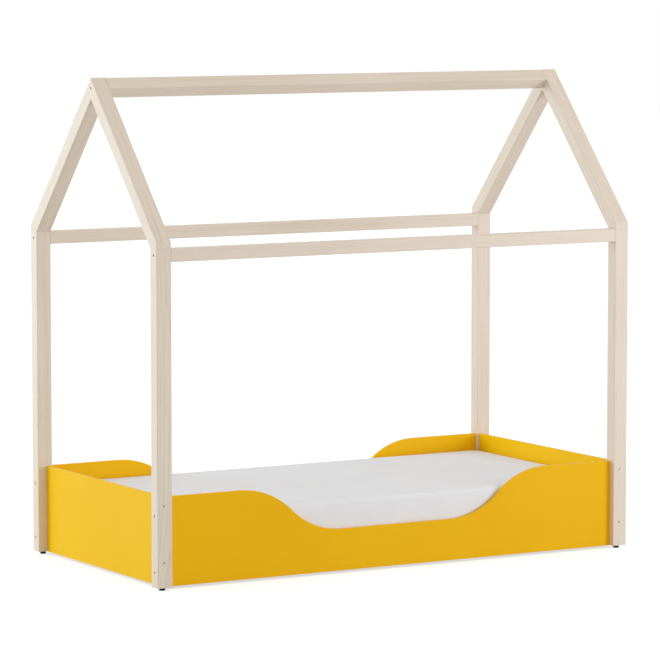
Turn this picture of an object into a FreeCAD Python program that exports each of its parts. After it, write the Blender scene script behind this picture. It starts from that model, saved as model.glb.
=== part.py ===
import FreeCAD, Part
import math
import os

# House-frame floor bed for a small child: four posts, a gabled roof frame, two side panels
# with a low dip to climb over, two straight end panels, a slatted base and a mattress.
#
# Frame, in millimetres: +X along the bed's length, +Y across it from front to back, +Z up.
# The origin is on the floor under the middle of the bed.
# Pieces are drawn with the front left corner of the posts at X = 0, Y = 0, and every piece
# is moved into the bed's frame when it is saved.

Vector = FreeCAD.Vector
X_AXIS = Vector(1, 0, 0)
Y_AXIS = Vector(0, 1, 0)
Z_AXIS = Vector(0, 0, 1)

# How far a cutting shape runs past a face, and what counts as equal
OVERSHOOT = 1.0
TOLERANCE = 1e-6

# Overall
bed_length = 1980.0
bed_width = 1000.0

# Posts: solid timber, the wide face looks to the front and the back
post_width = 58.0
post_depth = 48.0
post_height = 1190.0

# Roof frame
roof_pitch = 48.0
rafter_thickness = 51.0
ridge_facet = 49.0
eave_beam_height = 47.0
timber_round = 2.5
joint_easing = 0.8

# Panels: lacquered board, let into the posts with tenons
panel_thickness = 15.0
panel_height = 319.0
panel_chamfer = 1.5
side_recess = 23.0
end_recess = 34.5
dip_height = 151.0
dip_length = 460.0
dip_curve_run = 415.0

# Panel tenons: those of the end panels and of the side panels sit at different heights,
# because they cross inside the same post
tenon_height = 28.0
tenon_spacing = 200.0
end_tenon_rise = 53.5
side_tenon_rise = 89.5
side_tenon_length = 48.0
end_tenon_length = 38.0

# Roof tenons: one on each post top, one on each end of a beam, a loose one across each apex
post_tenon_length = 30.0
post_tenon_thickness = 16.0
post_tenon_height = 24.0
beam_tenon_length = 20.0
beam_tenon_size = 20.0
apex_tenon_width = 30.0
apex_tenon_length = 40.0
apex_tenon_thickness = 14.0
apex_tenon_rise = 16.0

# Gap between a tenon and each wall of its mortise
tenon_gap = 0.2

# Holes for the bolts that pin the tenons and hold the beams, each with a seat for a sunk head
bolt_hole_diameter = 6.5
bolt_seat_diameter = 9.5
bolt_seat_depth = 7.5
side_bolt_offset = 24.0

# Slatted base
slat_count = 13
slat_width = 68.0
slat_thickness = 18.0
slat_end_margin = 36.0
slat_end_gap = 1.5
slat_top_rise = 116.0
slat_chamfer = 2.0
ledge_width = 30.0
ledge_height = 30.0
ledge_end_gap = 2.0
end_ledge_height = 26.0
center_rail_width = 40.0
center_rail_height = 42.0
center_leg_count = 3
center_leg_width = 36.0
leg_chamfer = 3.0
leg_tenon_width = 18.0
leg_tenon_height = 20.0

# Feet: round glides
foot_diameter = 22.0
foot_height = 11.0
foot_chamfer = 1.5

# Mattress, in its fitted sheet
mattress_thickness = 140.0
mattress_corner_radius = 45.0
mattress_edge_chamfer = 8.0
mattress_gap = 3.0
mattress_lift = 0.3

# ---------------------------------------------------------------- places worked out

pitch_tan = math.tan(math.radians(roof_pitch))
pitch_cos = math.cos(math.radians(roof_pitch))
pitch_sin = math.sin(math.radians(roof_pitch))

middle_x = bed_length / 2
middle_y = bed_width / 2
post_bottom = foot_height
post_top = post_bottom + post_height
post_middle_x = post_width / 2
post_middle_y = post_depth / 2

rafter_depth = rafter_thickness / pitch_cos
rafter_heel = rafter_depth - post_depth * pitch_tan
inner_apex = post_top + (middle_y - post_depth) * pitch_tan
outer_apex = inner_apex + rafter_depth
ridge_half_width = ridge_facet * pitch_cos
ridge_half_height = ridge_facet * pitch_sin
ridge_middle = outer_apex - ridge_half_height
eave_middle = post_top - eave_beam_height / 2

panel_bottom = post_bottom
panel_top = panel_bottom + panel_height
dip_top = panel_bottom + dip_height
side_inner_y = side_recess + panel_thickness
end_inner_x = end_recess + panel_thickness
side_tenons = [panel_bottom + side_tenon_rise + step * tenon_spacing for step in (0, 1)]
end_tenons = [panel_bottom + end_tenon_rise + step * tenon_spacing for step in (0, 1)]

slat_top = panel_bottom + slat_top_rise
slat_bottom = slat_top - slat_thickness
ledge_bottom = slat_bottom - ledge_height
ledge_inner_y = side_inner_y + ledge_width
rail_bottom = slat_bottom - center_rail_height
rail_left = end_inner_x + ledge_end_gap
rail_right = bed_length - rail_left


# ---------------------------------------------------------------- shapes used again

def box(low, high):
    """A block between two opposite corners."""
    return Part.makeBox(high[0] - low[0], high[1] - low[1], high[2] - low[2], Vector(*low))


def block(center, size, gap=0.0):
    """A block round its center, larger by a gap on every side where it is a pocket."""
    low = [middle - extent / 2 - gap for middle, extent in zip(center, size)]
    high = [middle + extent / 2 + gap for middle, extent in zip(center, size)]
    return box(low, high)


def rod(start, direction, diameter, length):
    """A round bar that starts at a point and runs along a direction."""
    return Part.makeCylinder(diameter / 2, length, Vector(*start), direction)


def prism(points, sweep):
    """A flat outline of straight edges, swept along a vector."""
    corners = [Vector(*point) for point in points]
    outline = Part.makePolygon(corners + corners[:1])
    return Part.Face(outline).extrude(sweep)


def edges_along(shape, direction):
    """The straight edges of a shape that run along a direction."""
    found = []
    for edge in shape.Edges:
        if isinstance(edge.Curve, Part.Line):
            along = (edge.Vertexes[-1].Point - edge.Vertexes[0].Point).normalize()
            if abs(abs(along.dot(direction)) - 1) < TOLERANCE:
                found.append(edge)
    return found


def rim(shape, level):
    """The edges of a shape that lie flat at a level."""
    return [edge for edge in shape.Edges
            if max(abs(edge.BoundBox.ZMin - level), abs(edge.BoundBox.ZMax - level)) < TOLERANCE]


def mirror_length(shape):
    """The same piece for the other end of the bed, as its mirror image."""
    return shape.mirror(Vector(middle_x, middle_y, 0), X_AXIS)


def turn_round(shape):
    """The same piece for the opposite corner or side, turned half round."""
    turned = shape.copy()
    turned.rotate(Vector(middle_x, middle_y, 0), Z_AXIS, 180)
    return turned


def save(name, *solids):
    """Move the pieces into the bed's frame and write them as one node."""
    shape = solids[0] if len(solids) == 1 else Part.Compound(list(solids))
    shape = shape.copy()
    shape.translate(Vector(-middle_x, -middle_y, 0))
    shape.exportStep("parts/" + name + ".step")


# ---------------------------------------------------------------- joints between pieces

def bolt_hole(place, direction, depth):
    """The seat for a sunk bolt head and the hole for its shank, from a face inwards."""
    seat = rod(place, direction, bolt_seat_diameter, bolt_seat_depth)
    return seat.fuse(rod(place, direction, bolt_hole_diameter, depth + OVERSHOOT))


def side_panel_tenon(z, gap=0.0):
    """The side panel's tenon in the front left post, or its mortise with a gap."""
    return box((post_width - side_tenon_length - gap, side_recess - gap,
                z - tenon_height / 2 - gap),
               (post_width + OVERSHOOT, side_inner_y + gap, z + tenon_height / 2 + gap))


def end_panel_tenon(z, gap=0.0):
    """The end panel's tenon in the front left post, or its mortise with a gap."""
    return box((end_recess - gap, post_depth - end_tenon_length - gap,
                z - tenon_height / 2 - gap),
               (end_inner_x + gap, post_depth + OVERSHOOT, z + tenon_height / 2 + gap))


def post_tenon(gap=0.0):
    """The stub tenon on the front left post's top, or its mortise in the rafter."""
    return block((post_middle_x, post_middle_y, post_top),
                 (post_tenon_length, post_tenon_thickness, 2 * post_tenon_height), gap)


def beam_tenon(y, z, gap=0.0):
    """The stub tenon on a beam's left end, or its mortise in the post or the rafters."""
    return block((post_width, y, z),
                 (2 * beam_tenon_length, beam_tenon_size, beam_tenon_size), gap)


def apex_tenon(gap=0.0):
    """The loose tenon across the left gable's mitre, or its mortise in the two rafters."""
    return block((post_middle_x, middle_y, inner_apex + apex_tenon_rise),
                 (apex_tenon_width, apex_tenon_length, apex_tenon_thickness), gap)


# ---------------------------------------------------------------- timber frame

def post(side_bolt_inset):
    """The front left post, with its mortises, its bolt holes and the tenon on its eased top."""
    shape = box((0, 0, post_bottom), (post_width, post_depth, post_top))
    shape = shape.makeFillet(timber_round, edges_along(shape, Z_AXIS))
    shape = shape.makeChamfer(joint_easing, rim(shape, post_top))
    shape = shape.fuse(post_tenon())
    cuts = [beam_tenon(post_middle_y, eave_middle, tenon_gap),
            bolt_hole((0, post_middle_y, eave_middle), X_AXIS, post_width - beam_tenon_length)]
    for z in side_tenons:
        cuts.append(side_panel_tenon(z, tenon_gap))
        cuts.append(bolt_hole((side_bolt_inset, 0, z), Y_AXIS, side_recess))
    for z in end_tenons:
        cuts.append(end_panel_tenon(z, tenon_gap))
        cuts.append(bolt_hole((0, post_middle_y, z), X_AXIS, end_recess))
    return shape.cut(cuts)


def rafter():
    """The front left rafter: eased level seat, plumb heel flush with the post, plumb mitre."""
    shape = prism([(0, 0, post_top), (0, post_depth, post_top), (0, middle_y, inner_apex),
                   (0, middle_y, outer_apex), (0, 0, post_top + rafter_heel)],
                  Vector(post_width, 0, 0))
    slope = Vector(0, pitch_cos, pitch_sin)
    heel = [edge for edge in edges_along(shape, Z_AXIS) if edge.BoundBox.YMax < TOLERANCE]
    shape = shape.makeFillet(timber_round, heel + edges_along(shape, slope))
    shape = shape.makeChamfer(joint_easing, rim(shape, post_top))
    return shape.cut([post_tenon(tenon_gap), apex_tenon(tenon_gap),
                      beam_tenon(middle_y, ridge_middle, tenon_gap),
                      bolt_hole((0, middle_y, ridge_middle), X_AXIS,
                                post_width - beam_tenon_length)])


def beam(shape, y, z):
    """Round a beam's long edges and give it a stub tenon at each end."""
    shape = shape.makeFillet(timber_round, edges_along(shape, X_AXIS))
    tenon = beam_tenon(y, z)
    return shape.fuse([tenon, mirror_length(tenon)])


def ridge_beam():
    """The ridge beam: a bar on edge, its upper facets in line with the roof slopes."""
    shape = prism([(post_width, middle_y, outer_apex),
                   (post_width, middle_y - ridge_half_width, ridge_middle),
                   (post_width, middle_y, ridge_middle - ridge_half_height),
                   (post_width, middle_y + ridge_half_width, ridge_middle)],
                  Vector(bed_length - 2 * post_width, 0, 0))
    return beam(shape, middle_y, ridge_middle)


def eave_beam():
    """The front eave beam, between the tops of the two front posts."""
    shape = box((post_width, 0, post_top - eave_beam_height),
                (bed_length - post_width, post_depth, post_top))
    return beam(shape, post_middle_y, eave_middle)


# ---------------------------------------------------------------- panels

def dip_curve(start_x, side):
    """The S-shaped edge down into the dip: two equal arcs that meet smoothly half way."""
    drop = panel_top - dip_top
    radius = (dip_curve_run ** 2 + drop ** 2) / (4 * drop)
    sweep = math.asin(dip_curve_run / 2 / radius)

    def upper(angle):
        return Vector(start_x + side * radius * math.sin(angle), side_recess,
                      panel_top - radius * (1 - math.cos(angle)))

    def lower(angle):
        return Vector(start_x + side * (dip_curve_run - radius * math.sin(angle)), side_recess,
                      dip_top + radius * (1 - math.cos(angle)))

    first = Part.Arc(upper(0), upper(sweep / 2), upper(sweep)).toShape()
    second = Part.Arc(lower(sweep), lower(sweep / 2), lower(0)).toShape()
    return [first, second]


def side_panel():
    """The front side panel, with its low dip and two tenons at each end."""
    left = post_width
    right = bed_length - post_width
    dip_left = middle_x - dip_length / 2
    dip_right = middle_x + dip_length / 2

    def line(from_x, from_z, to_x, to_z):
        return Part.makeLine(Vector(from_x, side_recess, from_z), Vector(to_x, side_recess, to_z))

    edges = [line(left, panel_bottom, left, panel_top),
             line(left, panel_top, dip_left - dip_curve_run, panel_top),
             line(dip_left, dip_top, dip_right, dip_top),
             line(dip_right + dip_curve_run, panel_top, right, panel_top),
             line(right, panel_top, right, panel_bottom),
             line(right, panel_bottom, left, panel_bottom)]
    edges += dip_curve(dip_left - dip_curve_run, 1)
    edges += dip_curve(dip_right + dip_curve_run, -1)
    outline = Part.Wire(Part.__sortEdges__(edges))
    board = Part.Face(outline).extrude(Vector(0, panel_thickness, 0))

    def on_top(edge):
        middle = edge.CenterOfMass
        flat = edge.BoundBox.YLength < TOLERANCE
        return flat and middle.z > panel_bottom + OVERSHOOT and left < middle.x < right

    board = board.makeChamfer(panel_chamfer, [edge for edge in board.Edges if on_top(edge)])
    tenons = [side_panel_tenon(z) for z in side_tenons]
    tenons += [mirror_length(tenon) for tenon in tenons]
    return board.fuse(tenons).removeSplitter()


def end_panel():
    """The left end panel, straight along its top, with two tenons at each side."""
    board = box((end_recess, post_depth, panel_bottom),
                (end_inner_x, bed_width - post_depth, panel_top))
    top_edges = [edge for edge in edges_along(board, Y_AXIS)
                 if abs(edge.CenterOfMass.z - panel_top) < TOLERANCE]
    board = board.makeChamfer(panel_chamfer, top_edges)
    tenons = [end_panel_tenon(z) for z in end_tenons]
    tenons += [tenon.mirror(Vector(0, middle_y, 0), Y_AXIS) for tenon in tenons]
    return board.fuse(tenons).removeSplitter()


# ---------------------------------------------------------------- slatted base

def side_ledge():
    """The batten along the foot of the front side panel that carries the slats."""
    left = post_width + ledge_end_gap
    return box((left, side_inner_y, ledge_bottom), (bed_length - left, ledge_inner_y, slat_bottom))


def end_ledge():
    """The short batten on the left end panel that carries the center rail."""
    front = ledge_inner_y + ledge_end_gap
    return box((end_inner_x, front, rail_bottom - end_ledge_height),
               (end_inner_x + ledge_width, bed_width - front, rail_bottom))


def slats():
    """The slats, evenly spaced along the ledges and the center rail."""
    front = side_inner_y + slat_end_gap
    first = post_width + slat_end_margin
    pitch = (bed_length - 2 * first - slat_width) / (slat_count - 1)
    made = []
    for step in range(slat_count):
        left = first + step * pitch
        slat = box((left, front, slat_bottom), (left + slat_width, bed_width - front, slat_top))
        made.append(slat.makeChamfer(slat_chamfer, edges_along(slat, Y_AXIS)))
    return made


def leg_places():
    """Where the center legs stand along the bed."""
    pitch = (rail_right - rail_left) / (center_leg_count + 1)
    return [rail_left + pitch * (step + 1) for step in range(center_leg_count)]


def leg_tenon(x, gap=0.0):
    """The stub tenon on top of a center leg, or its mortise in the center rail."""
    return block((x, middle_y, rail_bottom),
                 (leg_tenon_width, leg_tenon_width, 2 * leg_tenon_height), gap)


def center_rail():
    """The rail under the middle of the slats, with a mortise for each of its legs."""
    shape = box((rail_left, middle_y - center_rail_width / 2, rail_bottom),
                (rail_right, middle_y + center_rail_width / 2, slat_bottom))
    return shape.cut([leg_tenon(x, tenon_gap) for x in leg_places()])


def center_leg(x):
    """A square leg from the floor to the center rail, with its stub tenon."""
    leg = block((x, middle_y, rail_bottom / 2), (center_leg_width, center_leg_width, rail_bottom))
    leg = leg.makeChamfer(leg_chamfer, rim(leg, 0))
    return leg.fuse(leg_tenon(x))


# ---------------------------------------------------------------- feet and mattress

def foot():
    """The glide under the front left post: a disc with its lower rim chamfered."""
    disc = rod((post_middle_x, post_middle_y, 0), Z_AXIS, foot_diameter, foot_height)
    return disc.makeChamfer(foot_chamfer, rim(disc, 0))


def mattress():
    """The mattress, a plain block with rounded corners and eased rims."""
    bottom = slat_top + mattress_lift
    top = bottom + mattress_thickness
    front = side_inner_y + mattress_gap
    left = end_inner_x + mattress_gap
    shape = box((left, front, bottom), (bed_length - left, bed_width - front, top))
    shape = shape.makeFillet(mattress_corner_radius, edges_along(shape, Z_AXIS))
    return shape.makeChamfer(mattress_edge_chamfer, rim(shape, bottom) + rim(shape, top))


# ---------------------------------------------------------------- the whole bed

def save_corners(name, left, right):
    """Write a front left and a front right piece, and the same two turned to the back."""
    save(name + "_front_left", left)
    save(name + "_front_right", right)
    save(name + "_back_right", turn_round(left))
    save(name + "_back_left", turn_round(right))


def save_pair(name, first_place, second_place, piece):
    """Write a piece at the front or the left, and the same turned to the other side."""
    save(name + "_" + first_place, piece)
    save(name + "_" + second_place, turn_round(piece))


def main():
    os.makedirs("parts", exist_ok=True)

    save_corners("post", post(side_bolt_offset), mirror_length(post(post_width - side_bolt_offset)))
    save_corners("rafter", rafter(), mirror_length(rafter()))
    save_pair("apex_tenon", "left", "right", apex_tenon())
    save("ridge_beam", ridge_beam())
    save_pair("eave_beam", "front", "back", eave_beam())

    save_pair("side_panel", "front", "back", side_panel())
    save_pair("end_panel", "left", "right", end_panel())

    save_pair("side_ledge", "front", "back", side_ledge())
    save_pair("end_ledge", "left", "right", end_ledge())
    for number, slat in enumerate(slats(), 1):
        save("slat_%02d" % number, slat)
    save("center_rail", center_rail())
    for number, x in enumerate(leg_places(), 1):
        save("center_leg_%d" % number, center_leg(x))

    feet = [foot(), mirror_length(foot())]
    save("feet", *(feet + [turn_round(piece) for piece in feet]))
    save("mattress", mattress())


main()
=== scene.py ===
import math

import bmesh
import bpy
from mathutils import Euler, Matrix, Vector, noise
from mathutils.bvhtree import BVHTree


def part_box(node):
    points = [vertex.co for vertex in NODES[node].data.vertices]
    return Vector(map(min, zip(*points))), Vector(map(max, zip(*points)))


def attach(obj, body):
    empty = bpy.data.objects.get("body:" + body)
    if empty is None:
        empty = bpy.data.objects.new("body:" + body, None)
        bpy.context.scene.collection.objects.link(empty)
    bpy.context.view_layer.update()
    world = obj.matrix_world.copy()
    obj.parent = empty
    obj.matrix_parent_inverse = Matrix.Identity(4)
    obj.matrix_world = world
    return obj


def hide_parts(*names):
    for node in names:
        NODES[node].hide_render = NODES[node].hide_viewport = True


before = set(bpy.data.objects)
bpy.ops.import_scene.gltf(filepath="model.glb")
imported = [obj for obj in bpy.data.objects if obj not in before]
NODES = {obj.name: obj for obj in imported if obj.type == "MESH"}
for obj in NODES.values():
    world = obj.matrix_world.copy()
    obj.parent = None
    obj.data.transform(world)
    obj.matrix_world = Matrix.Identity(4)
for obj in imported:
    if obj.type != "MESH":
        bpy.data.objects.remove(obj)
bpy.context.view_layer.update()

# Looks of a house-frame floor bed: pale timber, yellow lacquered panels, a mattress in a white
# fitted sheet, black glides. Metres, in the frame of the CAD model: +X along the bed's length,
# +Y from front to back, +Z up, origin on the floor under the middle of the bed.

MM = 0.001
UP = Vector((0, 0, 1))
CORNERS = ("front_left", "front_right", "back_left", "back_right")

# Places and sizes that the CAD source has too
ROOF_PITCH = math.radians(48)
BOLT_SEAT_DEPTH = 7.5 * MM
SIDE_BOLT_OFFSET = 24 * MM
TENON_SPACING = 200 * MM
END_TENON_RISE = 53.5 * MM
SIDE_TENON_RISE = 89.5 * MM

# Bolt and screw heads: corners of their round outlines, how far each is turned from the one
# before it, in radians, the taper of their slots, and their sizes and places
HEAD_CORNERS = 24
HEAD_TURN = 2.4
SLOT_TAPER = 0.9
BOLT_HEAD_RADIUS = 4.5 * MM
BOLT_HEAD_HEIGHT = 5 * MM
BOLT_HEAD_BEVEL = 0.5 * MM
BOLT_SOCKET = 4 * MM
BOLT_SOCKET_DEPTH = 2.5 * MM
SCREW_HEAD_RADIUS = 4 * MM
SLAT_SCREW_HEIGHT = 0.25 * MM
LEDGE_SCREW_HEIGHT = 2.2 * MM
LEDGE_SCREW_SPACING = 250 * MM
SCREW_INSET = 15 * MM
# The slot of a cross-head screw, as shares of the span from tip to tip
CROSS_SPAN = 1.1 * SCREW_HEAD_RADIUS
CROSS_REACH = 0.5
CROSS_HALF_WIDTH = 0.13

# Mattress core: its cells and roundings, the room that it leaves inside the CAD mattress before
# it swells, how it swells, and the hollows of its top (noise per metre, its shares, and how far
# down they go)
CORE_CELL = 12 * MM
CORE_CORNER = 46 * MM
CORE_EDGE = 9 * MM
SIDE_ROOM = 3.4 * MM
TOP_ROOM = 1.2 * MM
UNDER_ROOM = 3.2 * MM
SIDE_SWELL = 2.0 * MM
TOP_SWELL = 2.0 * MM
COVER_PRESSURE = 0.12
SWELL_FRAMES = 20
LYING_DEPTH = 1 * MM
TOP_HOLLOWS = 1.2 * MM
HOLLOWS_BROAD = 3.1
HOLLOWS_FINE, HOLLOWS_FINE_SHARE = 9.7, 0.3
HOLLOWS_LEVEL = 0.2
HOLLOWS_FADE = 3 * TOP_SWELL

# Fitted sheet: how far it stands off the core, how many cells it returns under it, and its
# creases (their height, how far they reach from a corner, how far above the hem they are whole,
# and noise per metre across and along them)
SHEET_CLEARANCE = 1.0 * MM
RETURN_CELLS = 7
CREASE_HEIGHT = 13 * MM
CREASE_REACH = 0.12
CREASE_FOOT = 12 * MM
CREASE_PITCH = 57.0
CREASE_LENGTH = 11.0
CREASE_COS, CREASE_SIN = 0.82, 0.57
CREASE_END_SHIFT, CREASE_SIDE_SHIFT = 3.3, 7.7

# The sheet's elastic hem (the radius of its corners, its band, the noise per metre of its gathers
# and what they do to its place and width) and its corner seams
HEM_CORNER = 130 * MM
HEM_WIDTH = 12 * MM
HEM_THICKNESS = 1.4 * MM
HEM_STEP = 2 * MM
HEM_LOOK_AHEAD = 3
HEM_DROP = 0.3 * MM
HEM_GATHERS = 120.0
HEM_WIDTHS_PER_SWAY = 12
HEM_WIDTH_CHANGE = 0.16
SEAM_WIDTH = 5 * MM
SEAM_THICKNESS = 0.9 * MM
SEAM_STEP = 4 * MM
SEAM_SINK = 0.2 * MM

# Camera: the photograph's viewing angle, and a long lens
CAMERA_AZIMUTH = math.radians(-30.19)
CAMERA_ELEVATION = math.radians(5.70)
CAMERA_DISTANCE = 14.1785
CAMERA_AIM = Vector((0, 0, 0.911))
CAMERA_SIDE_STEP = -0.0033
CAMERA_RISE = -0.0832
CAMERA_LENS = 208.3

# Studio: strengths and tints of the world and the lamps, their places, and the floor
WORLD_LIGHT = 0.725
WORLD_TINT = (1.0, 0.978, 0.94)
KEY_PLACE, KEY_AIM, KEY_SIZE = (-6.0, 4.0, 1.8), (0, 0, 0.7), 4.0
KEY_LIGHT = 232.0
KEY_TINT = (0.885, 1.03, 1.15)
FILL_PLACE, FILL_AIM, FILL_SIZE = (4.6, -5.2, 1.4), (0.3, 0, 0.5), 2.5
FILL_LIGHT = 143.0
FILL_TINT = (0.955, 0.995, 1.09)
FLOOR_WHITE = 0.60
FLOOR_MOTTLE = 0.02
FLOOR_GLOW = 0.64
FLOOR_SIZE = 60.0

# Timber: how far the first piece of a kind lay from the heart of its tree, and how much that
# changes from one piece to the next
HEART_SIDE, HEART_SIDE_STEP = 0.055, 0.017
HEART_DEPTH, HEART_DEPTH_STEP = 0.11, 0.013
HEART_ALONG_STEP = 1.7

# Weaves: the spacing and the relief of their threads. A wave texture of scale 1 repeats after
# WAVE_LENGTH metres
WAVE_LENGTH = 0.314
TICKING_PITCH, TICKING_RELIEF = 0.9 * MM, 0.10 * MM
PERCALE_PITCH, PERCALE_RELIEF = 0.5 * MM, 0.05 * MM
TAPE_RIB = 0.6 * MM
STITCH_SPACING = 3.0 * MM
STITCH_HALF_LENGTH, STITCH_END = 0.9 * MM, 1.2 * MM
STITCH_ROW = 0.32
STITCH_HALF_WIDTH, STITCH_EDGE = 0.03, 0.06

# Noise lies mostly between these two
NOISE_LOW, NOISE_HIGH = 0.3, 0.7

# Colours, as linear light. The end panels' yellow is a little greener than the side panels': both
# are copies of one paint with painted light, the greener one for the brighter light on the end
# panels, the oranger one for the dimmer light on the side panels
TIMBER_LIGHT = (0.82, 0.72, 0.60)
TIMBER_DARK = (0.68, 0.565, 0.435)
BASE_LIGHT = (0.72, 0.60, 0.44)
BASE_DARK = (0.56, 0.42, 0.27)
TENON_LIGHT = (0.60, 0.43, 0.28)
TENON_DARK = (0.48, 0.32, 0.19)
SIDE_PANEL_SHADED_YELLOW = (0.935, 0.528, 0.004)
SIDE_PANEL_SHADED_DEEP = (0.905, 0.493, 0.003)
END_PANEL_LIT_YELLOW = (0.93, 0.562, 0.003)
END_PANEL_LIT_DEEP = (0.90, 0.527, 0.002)
SHEET_WHITE = (0.88, 0.88, 0.90)
SHEET_SHADE = (0.82, 0.82, 0.84)
TICKING_WHITE = (0.72, 0.71, 0.68)
TICKING_SHADE = (0.62, 0.61, 0.58)
ZINC_DARK = (0.46, 0.43, 0.37)
ZINC_LIGHT = (0.60, 0.56, 0.49)
GLIDE_BLACK = (0.006, 0.006, 0.006)


# ---------------------------------------------------------------- building materials

class Surface:
    """A material under construction: its node tree round one Principled shader."""

    def __init__(self, name, **settings):
        self.material = bpy.data.materials.new(name)
        self.material.use_nodes = True
        self.tree = self.material.node_tree
        self.shader = self.tree.nodes["Principled BSDF"]
        for socket, value in settings.items():
            self.shader.inputs[socket.replace("_", " ")].default_value = value

    def add(self, kind, settings=None, **inputs):
        """Add a node, set its properties, and feed its sockets by name or by number."""
        node = self.tree.nodes.new(kind)
        for name, value in (settings or {}).items():
            setattr(node, name, value)
        for name, value in inputs.items():
            self.feed(node, int(name[1:]) if name[0] == "_" else name.replace("_", " "), value)
        return node

    def feed(self, node, socket, value):
        """Give one socket a number, a vector, or another node's output."""
        if isinstance(value, bpy.types.NodeSocket):
            self.tree.links.new(value, node.inputs[socket])
        else:
            node.inputs[socket].default_value = value

    def place(self):
        """The point's place in the piece's own frame, in metres."""
        return self.add("ShaderNodeTexCoord").outputs["Object"]

    def mapped(self, vector, location=(0, 0, 0), rotation=(0, 0, 0), scale=(1, 1, 1)):
        return self.add("ShaderNodeMapping", Vector=vector, Location=location,
                        Rotation=rotation, Scale=scale).outputs[0]

    def noise(self, vector, scale, detail=2.0, roughness=0.5):
        return self.add("ShaderNodeTexNoise", Vector=vector, Scale=scale, Detail=detail,
                        Roughness=roughness).outputs["Fac"]

    def ramp(self, factor, *stops):
        """Turn a factor into a colour or a level through (position, colour) stops."""
        node = self.add("ShaderNodeValToRGB", Fac=factor)
        elements = node.color_ramp.elements
        while len(elements) < len(stops):
            elements.new(0.5)
        for element, (position, color) in zip(elements, stops):
            element.position = position
            element.color = (*color, 1) if isinstance(color, tuple) else (*[color] * 3, 1)
        return node.outputs["Color"]

    def level(self, factor, low, high, from_low=0.0, from_high=1.0):
        """Move a factor from one range into another."""
        node = self.add("ShaderNodeMapRange", Value=factor)
        for socket, value in zip(("From Min", "From Max", "To Min", "To Max"),
                                 (from_low, from_high, low, high)):
            node.inputs[socket].default_value = value
        return node.outputs[0]

    def spread(self, factor, low, high):
        """Stretch a noise over a range."""
        return self.level(factor, low, high, NOISE_LOW, NOISE_HIGH)

    def math(self, operation, first, second=0):
        node = self.add("ShaderNodeMath", {"operation": operation}, _0=first, _1=second)
        return node.outputs[0]

    def distance(self, value, mark):
        """How far a value is from a mark, either way."""
        return self.math("ABSOLUTE", self.math("SUBTRACT", value, mark))

    def color(self, value):
        self.feed(self.shader, "Base Color", value)

    def roughness(self, value):
        self.feed(self.shader, "Roughness", value)

    def bump(self, height, strength, distance):
        """Add relief to what the surface has already. distance is the height of 1, in metres."""
        node = self.add("ShaderNodeBump", Height=height, Strength=strength, Distance=distance)
        previous = self.shader.inputs["Normal"].links
        if previous:
            self.feed(node, "Normal", previous[0].from_socket)
        self.feed(self.shader, "Normal", node.outputs[0])


def wood(name, middle, turn, pith, light, dark, roughness):
    """Straight-grained timber. turn brings the grain upright, and pith is where the tree's heart
    lies beside the piece's middle, so that each face shows the rings as in sawn timber."""
    surface = Surface(name, Specular_IOR_Level=0.25)
    rotation = Euler(turn)
    shift = Vector(pith) - rotation.to_matrix() @ Vector(middle)
    along = surface.mapped(surface.place(), location=shift, rotation=rotation)

    drift = surface.mapped(along, scale=(2.5, 2.5, 0.9))
    drift = surface.add("ShaderNodeTexNoise", Vector=drift, Scale=1.0, Detail=1.5).outputs["Color"]
    waved = surface.add("ShaderNodeVectorMath", {"operation": "MULTIPLY_ADD"},
                        _0=drift, _1=(0.05, 0.05, 0), _2=along).outputs[0]
    rings = surface.add("ShaderNodeTexWave",
                        {"wave_type": "RINGS", "rings_direction": "Z", "wave_profile": "SAW"},
                        Vector=waved, Scale=62.0, Distortion=1.2, Detail=2.0, Detail_Scale=0.4,
                        Detail_Roughness=0.5).outputs["Fac"]
    fibre = surface.noise(surface.mapped(along, scale=(1, 1, 0.012)), 900.0, 3.0, 0.6)
    streak = surface.noise(surface.mapped(along, scale=(1, 1, 0.05)), 55.0, 2.0, 0.55)
    cloud = surface.noise(surface.mapped(along, scale=(1, 1, 0.35)), 5.0, 1.0, 0.5)

    grain = surface.level(rings, 0.0, 0.42, 0.35, 1.0)
    for layer, reach in ((fibre, 0.16), (streak, 0.22), (cloud, 0.14)):
        grain = surface.math("ADD", grain, surface.spread(layer, -reach, reach))
    surface.color(surface.ramp(grain, (0.0, light), (1.0, dark)))
    surface.roughness(surface.spread(fibre, roughness - 0.06, roughness + 0.08))
    surface.bump(fibre, 0.25, 0.15 * MM)
    surface.bump(rings, 0.12, 0.1 * MM)
    return surface.material


def lacquer(name, light, deep):
    """Sprayed satin lacquer on fibreboard: even colour, a faint orange peel."""
    surface = Surface(name, Specular_IOR_Level=0.09)
    place = surface.place()
    cloud = surface.noise(place, 3.0, 2.0)
    speck = surface.noise(place, 420.0, 2.0)
    tone = surface.math("ADD", surface.spread(cloud, 0.0, 0.8), surface.spread(speck, 0.0, 0.2))
    surface.color(surface.ramp(tone, (0.0, light), (1.0, deep)))
    surface.roughness(surface.spread(speck, 0.36, 0.46))
    surface.bump(surface.noise(place, 260.0, 3.0, 0.6), 0.10, 0.12 * MM)
    surface.bump(surface.noise(place, 1400.0, 1.0), 0.05, 0.05 * MM)
    return surface.material


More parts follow.
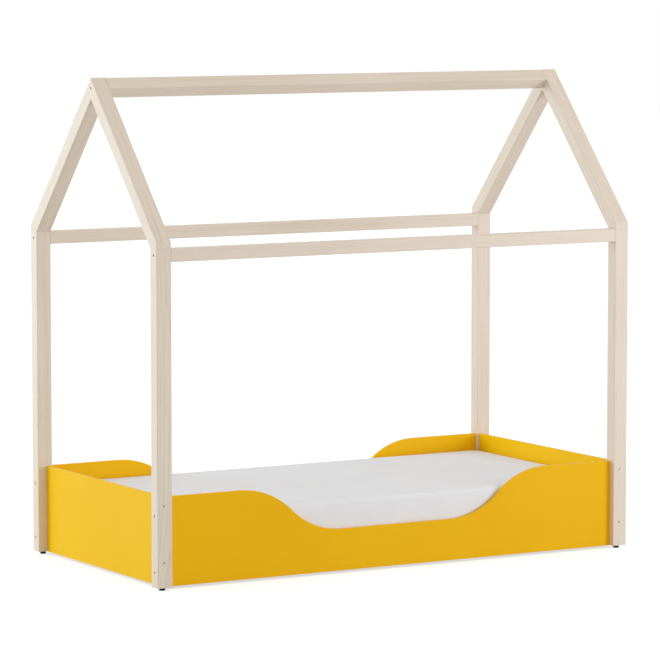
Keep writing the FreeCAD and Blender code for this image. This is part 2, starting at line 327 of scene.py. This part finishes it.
def cotton(name, light, shade, pitch, relief):
    """Plain-woven cotton: threads that cross on every side of a box, with slubs, a soft sheen, and
    painted shade between the threads.
    Bands that would lie flat in a side, and show its bends as contours, fade out there."""
    surface = Surface(name, Specular_IOR_Level=0.2, Sheen_Weight=0.06, Sheen_Roughness=0.5)
    place = surface.place()
    wobble = surface.add("ShaderNodeTexNoise", Vector=place, Scale=14.0, Detail=2.0)
    laid = surface.add("ShaderNodeVectorMath", {"operation": "MULTIPLY_ADD"},
                       _0=wobble.outputs["Color"], _1=[3 * MM] * 3, _2=place).outputs[0]
    facing = surface.add("ShaderNodeTexCoord").outputs["Normal"]
    facing = surface.add("ShaderNodeSeparateXYZ", Vector=facing)
    weave = None
    for number, direction in enumerate("XYZ"):
        thread = surface.add("ShaderNodeTexWave", {"bands_direction": direction}, Vector=laid,
                             Scale=WAVE_LENGTH / pitch, Distortion=0.6, Detail=1.0).outputs["Fac"]
        flat = surface.math("ABSOLUTE", facing.outputs[number])
        thread = surface.math("MULTIPLY", thread, surface.level(flat, 1.0, 0.0, 0.55, 0.8))
        weave = surface.math("MAXIMUM", weave, thread) if weave else thread
    slub = surface.noise(surface.mapped(place, scale=(1, 0.08, 0.3)), 380.0, 2.0)
    cloud = surface.noise(place, 9.0, 2.0)
    # The low parts of the weave are coloured darker: painted shade between the threads
    tone = surface.math("ADD", surface.level(weave, 0.35, 0.0), surface.spread(slub, 0.0, 0.35))
    tone = surface.math("ADD", tone, surface.spread(cloud, 0.0, 0.3))
    surface.color(surface.ramp(tone, (0.0, light), (1.0, shade)))
    surface.roughness(surface.spread(slub, 0.78, 0.92))
    surface.bump(weave, 0.35, relief)
    surface.bump(slub, 0.2, relief)
    return surface.material


def stitched_tape(name, light, shade):
    """Cotton tape with a row of stitches near each edge, laid out by the band's own length, with
    painted shade between the stitches and in the valleys of its ribs.
    """
    surface = Surface(name, Specular_IOR_Level=0.2, Sheen_Weight=0.06, Sheen_Roughness=0.5)
    chart = surface.add("ShaderNodeTexCoord").outputs["UV"]
    apart = surface.add("ShaderNodeSeparateXYZ", Vector=chart)
    along = surface.math("MODULO", apart.outputs[0], STITCH_SPACING)
    thread = surface.level(surface.distance(along, STITCH_SPACING / 2), 1.0, 0.0,
                           STITCH_HALF_LENGTH, STITCH_END)
    row = surface.level(surface.distance(surface.distance(apart.outputs[1], 0.5), STITCH_ROW),
                        1.0, 0.0, STITCH_HALF_WIDTH, STITCH_EDGE)
    stitch = surface.math("MULTIPLY", thread, row)
    ribs = surface.add("ShaderNodeTexWave", {"bands_direction": "X"}, Vector=surface.place(),
                       Scale=WAVE_LENGTH / TAPE_RIB, Distortion=0.8, Detail=1.0).outputs["Fac"]
    # Painted shade: the tape is darker between the raised stitches and in its rib valleys, lighter
    # on the stitches and rib tops
    tone = surface.math("ADD", surface.level(stitch, 0.35, 0.0), surface.level(ribs, 0.3, 0.0))
    surface.color(surface.ramp(tone, (0.0, light), (1.0, shade)))
    surface.roughness(surface.level(ribs, 0.78, 0.9))
    surface.bump(ribs, 0.3, 0.06 * MM)
    surface.bump(stitch, 0.5, 0.2 * MM)
    return surface.material


def moulded_plastic(name, color):
    """Black moulded nylon with a fine texture."""
    surface = Surface(name, Specular_IOR_Level=0.2)
    place = surface.place()
    grit = surface.noise(place, 1600.0, 3.0, 0.6)
    lift = tuple(channel * 1.8 + 0.004 for channel in color)
    surface.color(surface.ramp(grit, (0.3, color), (0.75, lift)))
    surface.roughness(surface.spread(grit, 0.42, 0.6))
    surface.bump(grit, 0.3, 0.08 * MM)
    return surface.material


def zinc(name, dark, light):
    """Zinc-plated steel, gone dull, with the small mottle of the plating."""
    surface = Surface(name, Metallic=1.0)
    place = surface.place()
    mottle = surface.noise(place, 900.0, 3.0, 0.6)
    scratch = surface.noise(surface.mapped(place, scale=(1, 1, 0.1)), 2600.0, 2.0)
    surface.color(surface.ramp(mottle, (NOISE_LOW, dark), (NOISE_HIGH, light)))
    surface.roughness(surface.spread(scratch, 0.28, 0.45))
    surface.bump(scratch, 0.15, 0.03 * MM)
    return surface.material


# ---------------------------------------------------------------- materials on the CAD pieces

# The turns that bring the grain of a piece upright
UPRIGHT = (0, 0, 0)
LENGTHWISE = (0, math.radians(90), 0)
CROSSWISE = (math.radians(90), 0, 0)
UP_TO_BACK = (math.radians(90) - ROOF_PITCH, 0, 0)
UP_TO_FRONT = (ROOF_PITCH - math.radians(90), 0, 0)


def middle_of(node):
    low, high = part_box(node)
    return (low + high) / 2


def dress(node, material):
    """Give a CAD node a material in place of the one that it came with in model.glb."""
    for slot in NODES[node].material_slots:
        slot.material = material


def dress_in_wood(nodes, turn, light, dark, roughness):
    """Each timber gets wood of its own, cut from another part of the tree."""
    for number, node in enumerate(nodes):
        side = 1 if number % 2 else -1
        pith = (side * (HEART_SIDE + HEART_SIDE_STEP * number),
                HEART_DEPTH - HEART_DEPTH_STEP * number, HEART_ALONG_STEP * number)
        dress(node, wood("wood_" + node, middle_of(node), turn, pith, light, dark, roughness))


def nodes_named(start):
    return sorted(name for name in NODES if name.startswith(start))


def dress_cad_pieces():
    """Lacquered timber for the frame, plain timber for the base, hardwood for the loose tenons,
    yellow lacquer for the panels, black plastic for the glides."""
    # The light and the dark of the grain, and the roughness
    frame_wood = (TIMBER_LIGHT, TIMBER_DARK, 0.46)
    base_wood = (BASE_LIGHT, BASE_DARK, 0.62)
    tenon_wood = (TENON_LIGHT, TENON_DARK, 0.6)
    dress_in_wood(["post_" + corner for corner in CORNERS], UPRIGHT, *frame_wood)
    dress_in_wood(["rafter_front_left", "rafter_front_right"], UP_TO_BACK, *frame_wood)
    dress_in_wood(["rafter_back_left", "rafter_back_right"], UP_TO_FRONT, *frame_wood)
    dress_in_wood(["ridge_beam", "eave_beam_front", "eave_beam_back"], LENGTHWISE, *frame_wood)
    dress_in_wood(["side_ledge_front", "side_ledge_back", "center_rail"], LENGTHWISE, *base_wood)
    dress_in_wood(["end_ledge_left", "end_ledge_right"], CROSSWISE, *base_wood)
    dress_in_wood(nodes_named("slat_"), CROSSWISE, *base_wood)
    dress_in_wood(nodes_named("center_leg_"), UPRIGHT, *base_wood)
    dress_in_wood(["apex_tenon_left", "apex_tenon_right"], CROSSWISE, *tenon_wood)
    # The side panels get the oranger copy of the one yellow paint: painted light, for the dimmer
    # light on them
    yellow = lacquer("side_panel_shaded_lacquer", SIDE_PANEL_SHADED_YELLOW, SIDE_PANEL_SHADED_DEEP)
    for node in ("side_panel_front", "side_panel_back"):
        dress(node, yellow)
    # The end panels get the greener copy of the same paint: painted light, for the brighter light
    # on them
    yellow = lacquer("end_panel_lit_lacquer", END_PANEL_LIT_YELLOW, END_PANEL_LIT_DEEP)
    for node in ("end_panel_left", "end_panel_right"):
        dress(node, yellow)
    dress("feet", moulded_plastic("glide_plastic", GLIDE_BLACK))


# ---------------------------------------------------------------- mattress

def within(value, limit):
    return max(-limit, min(limit, value))


def rounded(offset, half, corner, edge):
    """Where a point on a box lands on the box's rounded form. offset is the point's place from the
    box's middle, half is half the box, and corner and edge are the radii of its roundings."""
    core = Vector((within(offset.x, half.x - corner), within(offset.y, half.y - corner)))
    out = offset.xy - core
    if out.length > corner - edge:
        out = out.normalized() * (corner - edge)
    spine = Vector((*(core + out), within(offset.z, half.z - edge)))
    return spine + (offset - spine).normalized() * edge


def swell_box(low, high):
    """The mattress core's cover before it swells: a closed box of square cells, rounded off. The
    cells under it that the sheet leaves bare have material 1."""
    middle, half = (low + high) / 2, (high - low) / 2
    counts = [round(2 * reach / CORE_CELL) for reach in half]
    mesh = bmesh.new()
    points = {}

    def point(*steps):
        if steps not in points:
            offset = Vector([half[n] * (2 * steps[n] / counts[n] - 1) for n in range(3)])
            place = middle + rounded(offset, half, CORE_CORNER, CORE_EDGE)
            points[steps] = mesh.verts.new(place)
        return points[steps]

    for axis in range(3):
        across, along = [n for n in range(3) if n != axis]
        for side in (0, counts[axis]):
            for a in range(counts[across]):
                for b in range(counts[along]):
                    corners = []
                    for u, v in ((a, b), (a + 1, b), (a + 1, b + 1), (a, b + 1)):
                        steps = [0, 0, 0]
                        steps[axis], steps[across], steps[along] = side, u, v
                        corners.append(point(*steps))
                    face = mesh.faces.new(corners)
                    face.smooth = True
                    ring = min(a, b, counts[across] - 1 - a, counts[along] - 1 - b)
                    if axis == 2 and side == 0 and ring >= RETURN_CELLS:
                        face.material_index = 1
    bmesh.ops.recalc_face_normals(mesh, faces=mesh.faces)
    return mesh


def as_piece(mesh, name, *materials):
    """Turn a bmesh into an object that rides on nothing yet."""
    data = bpy.data.meshes.new(name)
    mesh.to_mesh(data)
    mesh.free()
    for material in materials:
        data.materials.append(material)
    piece = bpy.data.objects.new(name, data)
    bpy.context.scene.collection.objects.link(piece)
    return piece


def swell(piece, floor_level):
    """Blow the cover up as cloth, pinned where it lies on the slats. A soft limit keeps the
    swelling to what the bed has room for."""
    start = [vertex.co.copy() for vertex in piece.data.vertices]
    lying = [n for n, place in enumerate(start) if place.z < floor_level + LYING_DEPTH]
    pins = piece.vertex_groups.new(name="lying")
    pins.add(lying, 1.0, "REPLACE")
    cloth = piece.modifiers.new("cover", "CLOTH")
    cloth.settings.quality = 5
    cloth.settings.mass = 0.3
    cloth.settings.tension_stiffness = 40
    cloth.settings.compression_stiffness = 40
    cloth.settings.shear_stiffness = 20
    cloth.settings.bending_stiffness = 4
    cloth.settings.vertex_group_mass = "lying"
    cloth.settings.use_pressure = True
    cloth.settings.uniform_pressure_force = COVER_PRESSURE
    cloth.settings.effector_weights.gravity = 0
    cloth.collision_settings.use_collision = False
    scene = bpy.context.scene
    for frame_number in range(1, SWELL_FRAMES + 1):
        scene.frame_set(frame_number)
    shaped = piece.evaluated_get(bpy.context.evaluated_depsgraph_get())
    moved = [vertex.co - place for vertex, place in zip(shaped.data.vertices, start)]
    piece.modifiers.remove(cloth)
    piece.vertex_groups.remove(pins)
    scene.frame_set(1)
    for vertex, place, move in zip(piece.data.vertices, start, moved):
        vertex.co = place + Vector((SIDE_SWELL * math.tanh(move.x / SIDE_SWELL),
                                    SIDE_SWELL * math.tanh(move.y / SIDE_SWELL),
                                    TOP_SWELL * math.tanh(move.z / TOP_SWELL)))


def hollows(piece, top):
    """The foam's faint unevenness, which fades out on the way down the sides."""
    for vertex in piece.data.vertices:
        place = vertex.co
        share = max(0.0, 1 - (top - place.z) / HOLLOWS_FADE)
        depth = noise.noise(place * HOLLOWS_BROAD)
        depth += HOLLOWS_FINE_SHARE * noise.noise(place * HOLLOWS_FINE)
        vertex.co.z += share * TOP_HOLLOWS * (depth - HOLLOWS_LEVEL)


def rounding_off(place, middle, half, depth):
    """Where the elastic draws a point of the sheet's return to, so that the opening's corners are
    round. depth is the return's."""
    offset = place - middle
    inward = min(half.x - abs(offset.x), half.y - abs(offset.y))
    radius = HEM_CORNER * min(1.0, inward / depth)
    core = Vector((within(offset.x, half.x - inward - radius),
                   within(offset.y, half.y - inward - radius)))
    out = offset.xy - core
    if out.length > radius > 0:
        out = out.normalized() * radius
    return Vector((middle.x + core.x + out.x, middle.y + core.y + out.y, place.z))


def smoothed(piece):
    """A finer mesh of the piece, rounded off once. The piece's own points move onto it, so that
    its flat cells stay inside whatever is made from the finer one."""
    piece.modifiers.new("finer", "SUBSURF").levels = 1
    shaped = piece.evaluated_get(bpy.context.evaluated_depsgraph_get())
    finer = bpy.data.meshes.new_from_object(shaped)
    piece.modifiers.clear()
    for vertex, place in zip(piece.data.vertices, finer.vertices):
        vertex.co = place.co
    return finer


def crease(place, half):
    """How far the sheet stands off the core in the creases that slant up and away from a corner's
    hem. place is measured from the mattress's middle."""
    run = Vector((half.x - abs(place.x), half.y - abs(place.y))).length
    rise = max(0.0, place.z + half.z)
    slant = Vector((CREASE_PITCH * (CREASE_COS * place.z - CREASE_SIN * run),
                    CREASE_LENGTH * (CREASE_SIN * place.z + CREASE_COS * run),
                    math.copysign(CREASE_END_SHIFT, place.x)
                    + math.copysign(CREASE_SIDE_SHIFT, place.y)))
    fading = min(1.0, rise / CREASE_FOOT) * max(0.0, 1 - rise / (2 * half.z))
    return CREASE_HEIGHT * fading * math.exp(-run / CREASE_REACH) * max(0.0, noise.noise(slant))


def fitted_sheet(core, low, high, material):
    """The core's cover without the part under it, drawn tight, a little outside the core."""
    middle, half = (low + high) / 2, (high - low) / 2
    finer = smoothed(core)
    mesh = bmesh.new()
    mesh.from_mesh(finer)
    bpy.data.meshes.remove(finer)
    bmesh.ops.delete(mesh, geom=[face for face in mesh.faces if face.material_index],
                     context="FACES")
    for vertex in mesh.verts:
        if vertex.co.z < low.z + 0.1 * MM:
            vertex.co = rounding_off(vertex.co, middle, half, RETURN_CELLS * CORE_CELL)
    mesh.normal_update()
    for vertex in mesh.verts:
        vertex.co += vertex.normal * (SHEET_CLEARANCE + crease(vertex.co - middle, half))
    return as_piece(mesh, "fitted_sheet", material)


def sweep(name, stations, width, thickness, closed, material):
    """A flat band with rounded edges. A station is a point, the way out of the surface, the way
    across the band, and the band's share of its full width there. The texture coordinates are
    the length along the band in metres, and the place across it from 0 to 1."""
    profile = [(-0.5, 0.0), (-0.44, 0.8), (-0.2, 1.0), (0.2, 1.0), (0.44, 0.8), (0.5, 0.0)]
    mesh = bmesh.new()
    chart = mesh.loops.layers.uv.new("band")
    rows, lengths, length = [], [], 0.0
    for number, (point, out, across, share) in enumerate(stations):
        if number:
            length += (point - stations[number - 1][0]).length
        lengths.append(length)
        rows.append([mesh.verts.new(point + across * (u * width * share) + out * (v * thickness))
                     for u, v in profile])
    if closed:
        rows.append(rows[0])
        lengths.append(length + (stations[0][0] - stations[-1][0]).length)
    for number in range(len(rows) - 1):
        for step in range(len(profile)):
            after = (step + 1) % len(profile)
            face = mesh.faces.new((rows[number][step], rows[number][after],
                                   rows[number + 1][after], rows[number + 1][step]))
            face.smooth = True
            corners = ((number, step), (number, after), (number + 1, after), (number + 1, step))
            for loop, (row, column) in zip(face.loops, corners):
                loop[chart].uv = (lengths[row], profile[column][0] + 0.5)
    if not closed:
        mesh.faces.new(rows[0])
        mesh.faces.new(list(reversed(rows[-1])))
    bmesh.ops.recalc_face_normals(mesh, faces=mesh.faces)
    return as_piece(mesh, name, material)


def opening_edge(sheet):
    """The points of the sheet's free edge, in order."""
    mesh = bmesh.new()
    mesh.from_mesh(sheet.data)
    edges = [edge for edge in mesh.edges if edge.is_boundary]
    here, came = edges[0].verts[0], None
    points = []
    while not points or here != edges[0].verts[0]:
        points.append(here.co.copy())
        onward = next(edge for edge in here.link_edges if edge.is_boundary and edge != came)
        here, came = onward.other_vert(here), onward
    mesh.free()
    return points


def evenly(points, spacing):
    """Points at an even spacing along a closed line."""
    ring = points + points[:1]
    lengths = [0.0]
    for first, second in zip(ring, ring[1:]):
        lengths.append(lengths[-1] + (second - first).length)
    count = round(lengths[-1] / spacing)
    found, step = [], 0
    for number in range(count):
        target = lengths[-1] * number / count
        while lengths[step + 1] < target:
            step += 1
        share = (target - lengths[step]) / (lengths[step + 1] - lengths[step])
        found.append(ring[step].lerp(ring[step + 1], share))
    return found


def elastic_hem(sheet, material):
    """The elastic casing round the sheet's opening, drawn up into small gathers."""
    points = evenly(opening_edge(sheet), HEM_STEP)
    count = len(points)
    stations = []
    for number, point in enumerate(points):
        ahead = points[(number + HEM_LOOK_AHEAD) % count]
        travel = (ahead - points[number - HEM_LOOK_AHEAD]).normalized()
        across = travel.cross(UP)
        gather = noise.noise(point * HEM_GATHERS)
        place = point + across * (gather * HEM_WIDTH / HEM_WIDTHS_PER_SWAY) - UP * HEM_DROP
        stations.append((place, -UP, across, 1 + HEM_WIDTH_CHANGE * gather))
    return sweep("sheet_hem", stations, HEM_WIDTH, HEM_THICKNESS, True, material)


def seam_rays(center, outward, rise):
    """Rays from inside a corner to the line of its seam: over the top edge, down the corner,
    round the lower edge, and in under the mattress, further than the sheet goes. The straight
    part of the line runs from rise above the center to rise below it."""
    spine = center + outward * (CORE_CORNER - CORE_EDGE)

    def tilted(angle):
        return outward * math.cos(math.radians(angle)) + UP * math.sin(math.radians(angle))

    rays = [(spine + UP * rise, tilted(angle)) for angle in range(70, 0, -7)]
    rays += [(spine + UP * (rise * (1 - step / 7)), outward) for step in range(15)]
    rays += [(spine - UP * rise, tilted(-angle)) for angle in range(8, 90, 8)]
    rays += [(spine - outward * (SEAM_STEP * step), -UP) for step in range(1, 60)]
    return rays


def corner_seams(sheet, low, high, material):
    """The four seams that shape the sheet's corners, from the top edge round to the hem."""
    middle, half = (low + high) / 2, (high - low) / 2
    skin = BVHTree.FromObject(sheet, bpy.context.evaluated_depsgraph_get())
    pieces = []
    for corner, (side, end) in zip(CORNERS, ((-1, -1), (1, -1), (-1, 1), (1, 1))):
        outward = Vector((side, end, 0)).normalized()
        across = outward.cross(UP)
        center = middle + Vector((side * (half.x - CORE_CORNER), end * (half.y - CORE_CORNER), 0))
        stations = []
        for origin, direction in seam_rays(center, outward, half.z - CORE_EDGE):
            place, normal, _, _ = skin.ray_cast(origin, direction)
            if place is None:
                break
            if normal.dot(direction) < 0:
                normal.negate()
            stations.append((place - normal * SEAM_SINK, normal, across, 1.0))
        name = "sheet_seam_" + corner
        pieces.append(sweep(name, stations, SEAM_WIDTH, SEAM_THICKNESS, False, material))
    return pieces


def make_mattress():
    """The padded core, and the sheet with its hem and seams, in place of the CAD mattress."""
    low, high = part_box("mattress")
    low += Vector((SIDE_ROOM, SIDE_ROOM, UNDER_ROOM))
    high -= Vector((SIDE_ROOM, SIDE_ROOM, TOP_ROOM))
    ticking = cotton("ticking", TICKING_WHITE, TICKING_SHADE, TICKING_PITCH, TICKING_RELIEF)
    core = as_piece(swell_box(low, high), "mattress_core", ticking, ticking)
    swell(core, low.z)
    hollows(core, high.z + TOP_SWELL)
    percale = cotton("sheet_cotton", SHEET_WHITE, SHEET_SHADE, PERCALE_PITCH, PERCALE_RELIEF)
    tape = stitched_tape("sheet_tape", SHEET_WHITE, SHEET_SHADE)
    sheet = fitted_sheet(core, low, high, percale)
    hem = elastic_hem(sheet, tape)
    seams = corner_seams(sheet, low, high, tape)
    for piece in (core, sheet, hem, *seams):
        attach(piece, "mattress")
    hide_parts("mattress")
    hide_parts("mattress")


# ---------------------------------------------------------------- bolt and screw heads

def corner_angle(step):
    """The angle of a head's corner, in radians."""
    return math.radians(360 // HEAD_CORNERS * step)


def hexagon(step):
    """How far the edge of a hexagon is from its middle at a corner, if its flats are 1 apart."""
    angle = corner_angle(step) % math.radians(60)
    return 0.5 / math.cos(angle - math.radians(30))


def cross(step):
    """The same for the slot of a cross-head screw, if its tips are 1 apart."""
    over, up = [max(abs(share), 1e-6) for share in
                (math.cos(corner_angle(step)), math.sin(corner_angle(step)))]
    return max(min(CROSS_REACH / over, CROSS_HALF_WIDTH / up),
               min(CROSS_HALF_WIDTH / over, CROSS_REACH / up))


def add_head(mesh, place, facing, turn, outline, slot, slot_width, slot_depth):
    """Add one head. outline gives its (radius, height) pairs from the base to the rim of the face,
    place is where height 0 is, and slot is the form of the driver's slot."""
    to_world = UP.rotation_difference(facing).to_matrix()
    rim_height = outline[-1][1]

    def ring(height, radius):
        found = []
        for step in range(HEAD_CORNERS):
            angle = turn + corner_angle(step)
            reach = radius(step)
            local = Vector((reach * math.cos(angle), reach * math.sin(angle), height))
            found.append(mesh.verts.new(place + to_world @ local))
        return found

    rings = [ring(height, lambda step, radius=radius: radius) for radius, height in outline]
    rings.append(ring(rim_height, lambda step: slot_width * slot(step)))
    rings.append(ring(rim_height - slot_depth,
                      lambda step: slot_width * slot(step) * SLOT_TAPER))
    for level, (lower, upper) in enumerate(zip(rings, rings[1:])):
        for step in range(HEAD_CORNERS):
            after = (step + 1) % HEAD_CORNERS
            face = mesh.faces.new((lower[step], lower[after], upper[after], upper[step]))
            face.smooth = level < len(outline) - 1
    mesh.faces.new(rings[-1])
    mesh.faces.new(list(reversed(rings[0])))


def make_heads(name, outline, slot, slot_width, slot_depth, places):
    """One piece for all the heads of a kind. places gives where each one is and how it faces."""
    mesh = bmesh.new()
    for number, (place, facing) in enumerate(places):
        add_head(mesh, Vector(place), Vector(facing), HEAD_TURN * number, outline, slot,
                 slot_width, slot_depth)
    bmesh.ops.recalc_face_normals(mesh, faces=mesh.faces)
    piece = as_piece(mesh, name, ZINC)
    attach(piece, "frame")


def make_bolts():
    """Socket-head bolts, sunk in their seats in the posts and the rafters."""
    head = [(BOLT_HEAD_RADIUS, 0.0), (BOLT_HEAD_RADIUS, BOLT_HEAD_HEIGHT - BOLT_HEAD_BEVEL),
            (BOLT_HEAD_RADIUS - BOLT_HEAD_BEVEL, BOLT_HEAD_HEIGHT)]
    panel_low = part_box("side_panel_front")[0].z
    panel_places, roof_places = [], []
    for corner in CORNERS:
        low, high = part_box("post_" + corner)
        middle = (low + high) / 2
        # The back posts are the front ones turned half round
        if "front" in corner:
            x, y, facing = low.x + SIDE_BOLT_OFFSET, low.y + BOLT_SEAT_DEPTH, (0, -1, 0)
        else:
            x, y, facing = high.x - SIDE_BOLT_OFFSET, high.y - BOLT_SEAT_DEPTH, (0, 1, 0)
        for step in (0, TENON_SPACING):
            panel_places.append(((x, y, panel_low + SIDE_TENON_RISE + step), facing))
        outer, inner = (low.x, 1) if "left" in corner else (high.x, -1)
        x, facing = outer + inner * BOLT_SEAT_DEPTH, (-inner, 0, 0)
        for step in (0, TENON_SPACING):
            panel_places.append(((x, middle.y, panel_low + END_TENON_RISE + step), facing))
        beam = middle_of("eave_beam_" + corner.split("_")[0])
        roof_places.append(((x, middle.y, beam.z), facing))
        if "front" in corner:
            ridge = middle_of("ridge_beam")
            roof_places.append(((x, ridge.y, ridge.z), facing))
    make_heads("panel_bolts", head, hexagon, BOLT_SOCKET, BOLT_SOCKET_DEPTH, panel_places)
    make_heads("roof_bolts", head, hexagon, BOLT_SOCKET, BOLT_SOCKET_DEPTH, roof_places)


def make_screws():
    """Countersunk screws in the slats, and pan-head screws that hold the ledges to the panels."""
    radius = SCREW_HEAD_RADIUS
    places = []
    for node in nodes_named("slat_"):
        low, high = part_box(node)
        for y in (low.y + SCREW_INSET, high.y - SCREW_INSET):
            places.append((((low.x + high.x) / 2, y, high.z), (0, 0, 1)))
    flush = [(radius / 2, -radius / 2), (radius, SLAT_SCREW_HEIGHT / 2),
             (radius - SLAT_SCREW_HEIGHT, SLAT_SCREW_HEIGHT)]
    make_heads("slat_screws", flush, cross, CROSS_SPAN, 0.8 * SLAT_SCREW_HEIGHT, places)

    places = []
    for node, axis, inward in (("side_ledge_front", 0, 1), ("side_ledge_back", 0, -1),
                               ("end_ledge_left", 1, 1), ("end_ledge_right", 1, -1)):
        low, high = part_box(node)
        across = 1 - axis
        length = high[axis] - low[axis]
        count = max(2, round(length / LEDGE_SCREW_SPACING))
        for number in range(count):
            place = (low + high) / 2
            place[axis] = low[axis] + length * (number + 0.5) / count
            place[across] = high[across] if inward > 0 else low[across]
            facing = Vector((0, 0, 0))
            facing[across] = inward
            places.append((place, facing))
    dome = [(radius, 0.0), (0.95 * radius, 0.5 * LEDGE_SCREW_HEIGHT),
            (0.8 * radius, 0.85 * LEDGE_SCREW_HEIGHT), (0.6 * radius, LEDGE_SCREW_HEIGHT)]
    make_heads("ledge_screws", dome, cross, CROSS_SPAN, 0.6 * LEDGE_SCREW_HEIGHT, places)


# ---------------------------------------------------------------- stage

def camera():
    """A long lens at the photograph's angle, moved a little in its own plane to frame the bed."""
    azimuth, elevation = CAMERA_AZIMUTH, CAMERA_ELEVATION
    back = Vector((math.sin(azimuth) * math.cos(elevation),
                   -math.cos(azimuth) * math.cos(elevation), math.sin(elevation)))
    right = Vector((math.cos(azimuth), math.sin(azimuth), 0))
    up = back.cross(right)
    data = bpy.data.cameras.new("camera")
    data.lens = CAMERA_LENS
    data.clip_end = 100
    viewer = bpy.data.objects.new("camera", data)
    place = CAMERA_AIM + back * CAMERA_DISTANCE + right * CAMERA_SIDE_STEP + up * CAMERA_RISE
    turn = Matrix((right, up, back)).transposed().to_4x4()
    viewer.matrix_world = Matrix.Translation(place) @ turn
    bpy.context.scene.collection.objects.link(viewer)
    bpy.context.scene.camera = viewer


def lamp(name, place, aim, size, strength, color):
    """A square soft box that looks at a point of the bed."""
    data = bpy.data.lights.new(name, "AREA")
    data.shape = "SQUARE"
    data.size = size
    data.energy = strength
    data.color = color
    box = bpy.data.objects.new(name, data)
    direction = Vector(aim) - Vector(place)
    box.rotation_euler = direction.to_track_quat("-Z", "Y").to_euler()
    box.location = place
    box.visible_camera = False
    bpy.context.scene.collection.objects.link(box)


def direct_rays(tree):
    """1 for a ray that the camera, a mirror or a glass sends, and 0 for light on the bed."""
    path = tree.nodes.new("ShaderNodeLightPath")
    total = path.outputs["Is Camera Ray"]
    for kind in ("Is Glossy Ray", "Is Transmission Ray"):
        either = tree.nodes.new("ShaderNodeMath")
        either.operation = "MAXIMUM"
        tree.links.new(total, either.inputs[0])
        tree.links.new(path.outputs[kind], either.inputs[1])
        total = either.outputs[0]
    return total


def studio():
    """Even light all round, a key from the left and behind, and a fill from the right and front.
    The camera and what mirrors see the world as white."""
    world = bpy.data.worlds.new("studio")
    bpy.context.scene.world = world
    world.use_nodes = True
    tree = world.node_tree
    # A Mix node's two colours are its inputs 6 and 7, and what it makes of them is its output 2
    seen = tree.nodes.new("ShaderNodeMix")
    seen.data_type = "RGBA"
    seen.inputs[6].default_value = (*[WORLD_LIGHT * channel for channel in WORLD_TINT], 1)
    seen.inputs[7].default_value = (1, 1, 1, 1)
    tree.links.new(direct_rays(tree), seen.inputs[0])
    tree.links.new(seen.outputs[2], tree.nodes["Background"].inputs["Color"])
    lamp("key", KEY_PLACE, KEY_AIM, KEY_SIZE, KEY_LIGHT, KEY_TINT)
    lamp("fill", FILL_PLACE, FILL_AIM, FILL_SIZE, FILL_LIGHT, FILL_TINT)


def floor():
    """A pale floor that the camera sees as white, with the bed's soft shadow kept on it."""
    surface = Surface("floor_paint", Roughness=0.9, Specular_IOR_Level=0.1)
    grain = surface.noise(surface.place(), 2.0, 2.0)
    surface.color(surface.ramp(grain, (0.0, FLOOR_WHITE), (1.0, FLOOR_WHITE + FLOOR_MOTTLE)))
    surface.feed(surface.shader, "Emission Color", (1, 1, 1, 1))
    surface.feed(surface.shader, "Emission Strength",
                 surface.level(direct_rays(surface.tree), 0.0, FLOOR_GLOW))
    bpy.ops.mesh.primitive_plane_add(size=FLOOR_SIZE, location=(0, 0, 0))
    plane = bpy.context.object
    plane.name = "floor"
    plane.data.materials.append(surface.material)


# ---------------------------------------------------------------- the whole scene

def main():
    bpy.context.scene.view_settings.view_transform = "Standard"
    dress_cad_pieces()
    make_mattress()
    make_bolts()
    make_screws()
    camera()
    studio()
    floor()


ZINC = zinc("zinc_steel", ZINC_DARK, ZINC_LIGHT)
main()
